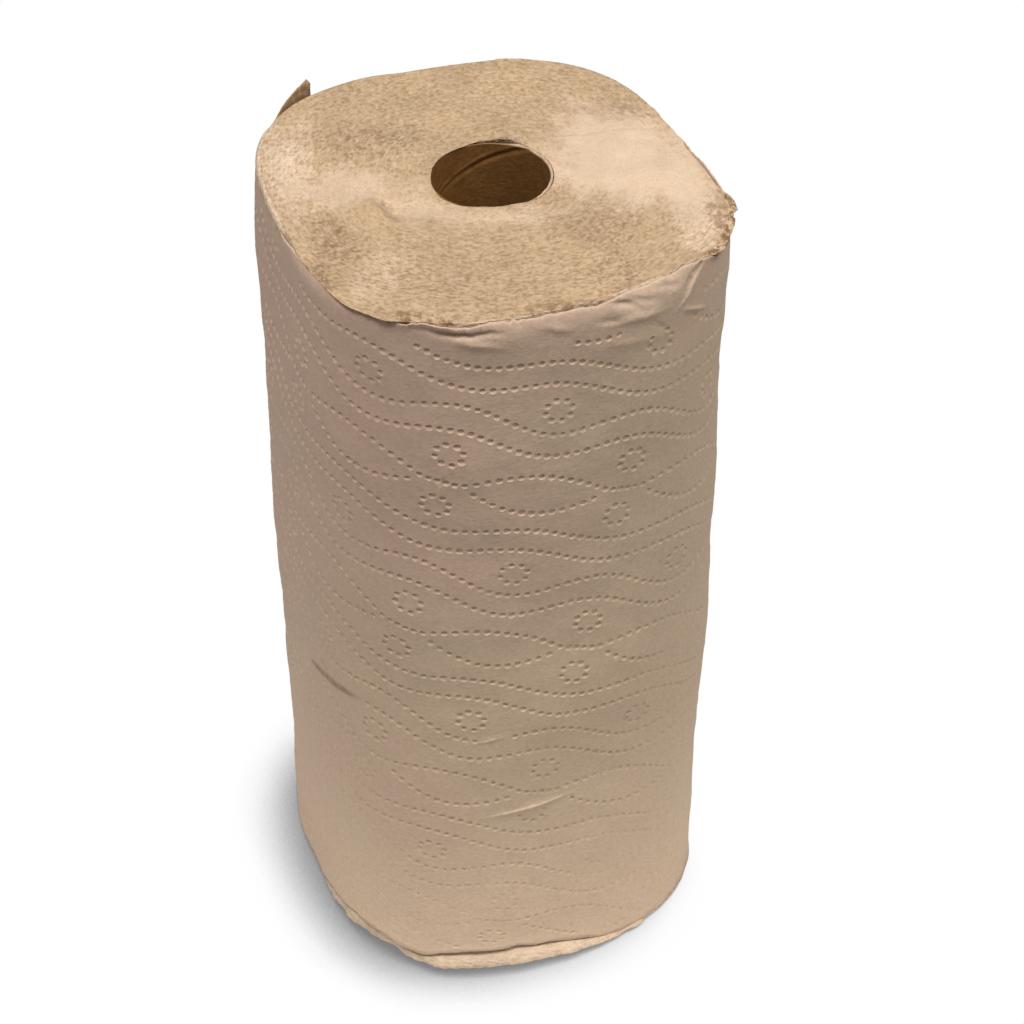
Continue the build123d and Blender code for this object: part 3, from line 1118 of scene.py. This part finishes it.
def ends_material():
    """Ends of the roll: felted edges of the turns, pale where smeared and dark where torn, with painted
    light and shade on the felt's fibres, painted shade in its pits and holes, on the dent, in torn places
    and down the bore, and painted light on the band at the foot.
    """
    n = Nodes("towel_ends")
    x, y, z = n.split()
    radius = n.length(x, y)
    across, up = n.math("DIVIDE", x, radius), n.math("DIVIDE", y, radius)

    def strokes(length):
        around = [n.times(way, length) for way in (across, up)]
        return n.noise(1150.0, 1.8, 0.55, n.join(n.math("SUBTRACT", radius, z), *around))

    outer = n.ramp(radius, 0.025, 0.062)
    inner = n.math("SUBTRACT", 1.0, outer)
    stroke = n.math("MULTIPLY_ADD", strokes(0.026), outer, n.times(strokes(0.012), inner))
    grain = n.noise(720.0, 2.0, 0.6)
    texture = n.math("ADD", n.times(stroke, 0.55), n.times(grain, 0.45))
    clump = n.ramp(n.noise(330.0, 2.0, 0.6), 0.35, 0.65, 0.94, 1.05)
    pale_and_lit, rough, brown_and_shade = n.painted("pale_and_lit"), n.painted("rough"), n.painted("brown_and_shade")

    # A value above 1 paints light on past the pale felt colour, as on the band at the foot
    colour = n.mix(pale_and_lit, FELT_DARK, FELT_PALE, clamp=False)
    cloud = n.ramp(n.noise(70.0, 3.0, 0.6), 0.3, 0.7, 0.93, 1.06)
    colour = n.shaded(colour, cloud)
    # Painted light and shade: the felt's strokes and clumps are darkened and lightened as its fibres' gaps
    # and lumps would be shaded and lit, more so where rough
    felt = n.ramp(texture, 0.34, 0.64, 0.68, 1.24)
    felt = n.times(felt, clump)
    felt = n.math("ADD", 1.0, n.times(n.math("SUBTRACT", felt, 1.0), rough))
    browned = n.join(*(n.math("POWER", felt, power) for power in FELT_POWERS))
    colour = n.mix(1.0, colour, browned, "MULTIPLY")
    # Painted shade: rough, torn places are darkened as their rough felt would be shaded
    torn_and_shade = n.ramp(rough, 0.7, 1.1, 1.0, 0.9)
    colour = n.shaded(colour, torn_and_shade)
    # Painted shade in the pits between the fibres
    pit_shade = n.times(n.ramp(texture, 0.45, 0.37), rough)
    colour = n.mix(n.times(pit_shade, 0.32), colour, FELT_PIT_SHADE)
    # Painted shade in a few coarse holes of the rough places
    hole_shade = n.times(n.ramp(n.noise(300.0, 1.5, 0.5), 0.6, 0.7), n.ramp(rough, 0.95, 1.08))
    colour = n.mix(n.times(hole_shade, 0.6), colour, FELT_HOLE_SHADE)
    # Brown of the torn and cut edges, with painted shade on the dent and down the bore's walls
    brown_and_shade_mask = n.times(brown_and_shade, n.ramp(n.noise(420.0, 3.0, 0.7), 0.42, 0.62))
    colour = n.mix(n.times(brown_and_shade_mask, 0.85), colour, FELT_BROWN_AND_SHADE)
    normal = n.bumped(texture, 0.0013, 0.75)
    return n.finish(colour, normal, 0.95, 0.05)


def core_material():
    """Brown cardboard with fibres that follow the winding, and a cut rim that is pale on the right and
    painted dark as shade on the left, with painted light and shade across the inside.
    """
    n = Nodes("core_board")
    x, y, z = n.split()
    angle = n.math("ARCTAN2", y, x)
    wound = n.math("ADD", z, n.times(angle, 0.0086))
    along = n.join(n.times(wound, 9.0), n.times(angle, 0.05), 0.0)
    grain = n.noise(90.0, 3.0, 0.6, along)
    colour = n.mix(n.ramp(grain, 0.3, 0.7), BOARD_DARK, BOARD_LIGHT)
    rim = n.ramp(z, 0.2786, 0.2793)
    # Painted shade: the cut rim is dark on the left, like the shaded bore, and pale on the right
    rim_colour = n.mix(n.ramp(x, -0.012, 0.012), BOARD_RIM_SHADE, BOARD_RIM_RIGHT)
    colour = n.mix(rim, colour, rim_colour)
    # Painted light and shade: the core's inside is lighter on the left and darker on the right
    side = n.ramp(x, -0.017, 0.008, 1.12, 0.9)
    colour = n.shaded(colour, side)
    fleck = n.noise(700.0, 2.0, 0.6)
    colour = n.shaded(colour, n.ramp(fleck, 0.3, 0.7, 0.9, 1.08))
    return n.finish(colour, n.bumped(fleck, 0.0003, 0.6), 0.85)


def floor_material():
    """White floor for the camera, with a pale patch under the roll that throws light up at it."""
    n = Nodes("floor")
    x, y, _ = n.split()
    patch = n.ramp(n.length(x, y), FLOOR_PATCH, FLOOR_PATCH * 1.8, FLOOR_NEAR, FLOOR_FAR)
    bounced = n.add("BsdfDiffuse", {"Color": n.grey(patch)})

    contact = {"Distance": CONTACT_REACH, "Normal": n.join(*CONTACT_LEAN)}
    near = n.add("AmbientOcclusion", contact, samples=8)
    shade = n.ramp(near.outputs["AO"], 0.22, 0.82, CONTACT_SHADE, 1.0)
    white = n.add("Emission", {"Color": n.grey(shade)})

    path = n.add("LightPath").outputs
    mirrored = n.math("MAXIMUM", path["Is Glossy Ray"], path["Is Transmission Ray"])
    seen = n.math("MAXIMUM", path["Is Camera Ray"], mirrored)
    return n.output(n.add("MixShader", {0: seen, 1: bounced.outputs[0], 2: white.outputs[0]}))


# Set, lights and camera


def build_floor():
    """Floor under the roll."""
    corners = ((-1, -1), (1, -1), (1, 1), (-1, 1))
    verts = [(FLOOR_HALF * x, FLOOR_HALF * y, FLOOR_HEIGHT) for x, y in corners]
    floor = make_mesh("floor", verts, [(0, 1, 2, 3)])
    floor.data.materials.append(floor_material())


def add_light(name, place, size, power):
    """Soft round lamp that points at the roll."""
    light = bpy.data.lights.new(name, "AREA")
    light.shape = "DISK"
    light.size = size
    light.energy = power
    obj = bpy.data.objects.new(name, light)
    obj.location = place
    obj.rotation_euler = (Vector(LIGHT_TARGET) - Vector(place)).to_track_quat("-Z", "Y").to_euler()
    bpy.context.scene.collection.objects.link(obj)


def build_world():
    """Faint even light from all round."""
    world = bpy.data.worlds.new("world")
    world.use_nodes = True
    background = world.node_tree.nodes["Background"].inputs
    background["Color"].default_value = (1.0, 1.0, 1.0, 1.0)
    background["Strength"].default_value = WORLD_STRENGTH
    bpy.context.scene.world = world


def build_camera():
    """Camera of the photograph."""
    camera = bpy.data.cameras.new("camera")
    camera.sensor_width = 36.0
    camera.lens = CAMERA_LENS
    camera.clip_end = 50.0
    obj = bpy.data.objects.new("camera", camera)
    obj.location = CAMERA_PLACE
    obj.rotation_euler = (CAMERA_TILT, 0.0, 0.0)
    bpy.context.scene.collection.objects.link(obj)
    bpy.context.scene.camera = obj


sheet = build_sheet()
sheet.data.materials.append(sheet_material())
body = build_body()
body.data.materials.append(ends_material())
core = build_core()
core.data.materials.append(core_material())
for piece, node, slot in (
    (sheet, "towel_roll", "towel"),
    (body, "towel_roll", "towel"),
    (core, "core_tube", "core"),
):
    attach(piece, "root")
    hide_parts(node)

build_floor()
for light in LIGHTS:
    add_light(*light)
build_world()
build_camera()
bpy.context.scene.view_settings.view_transform = "Standard"
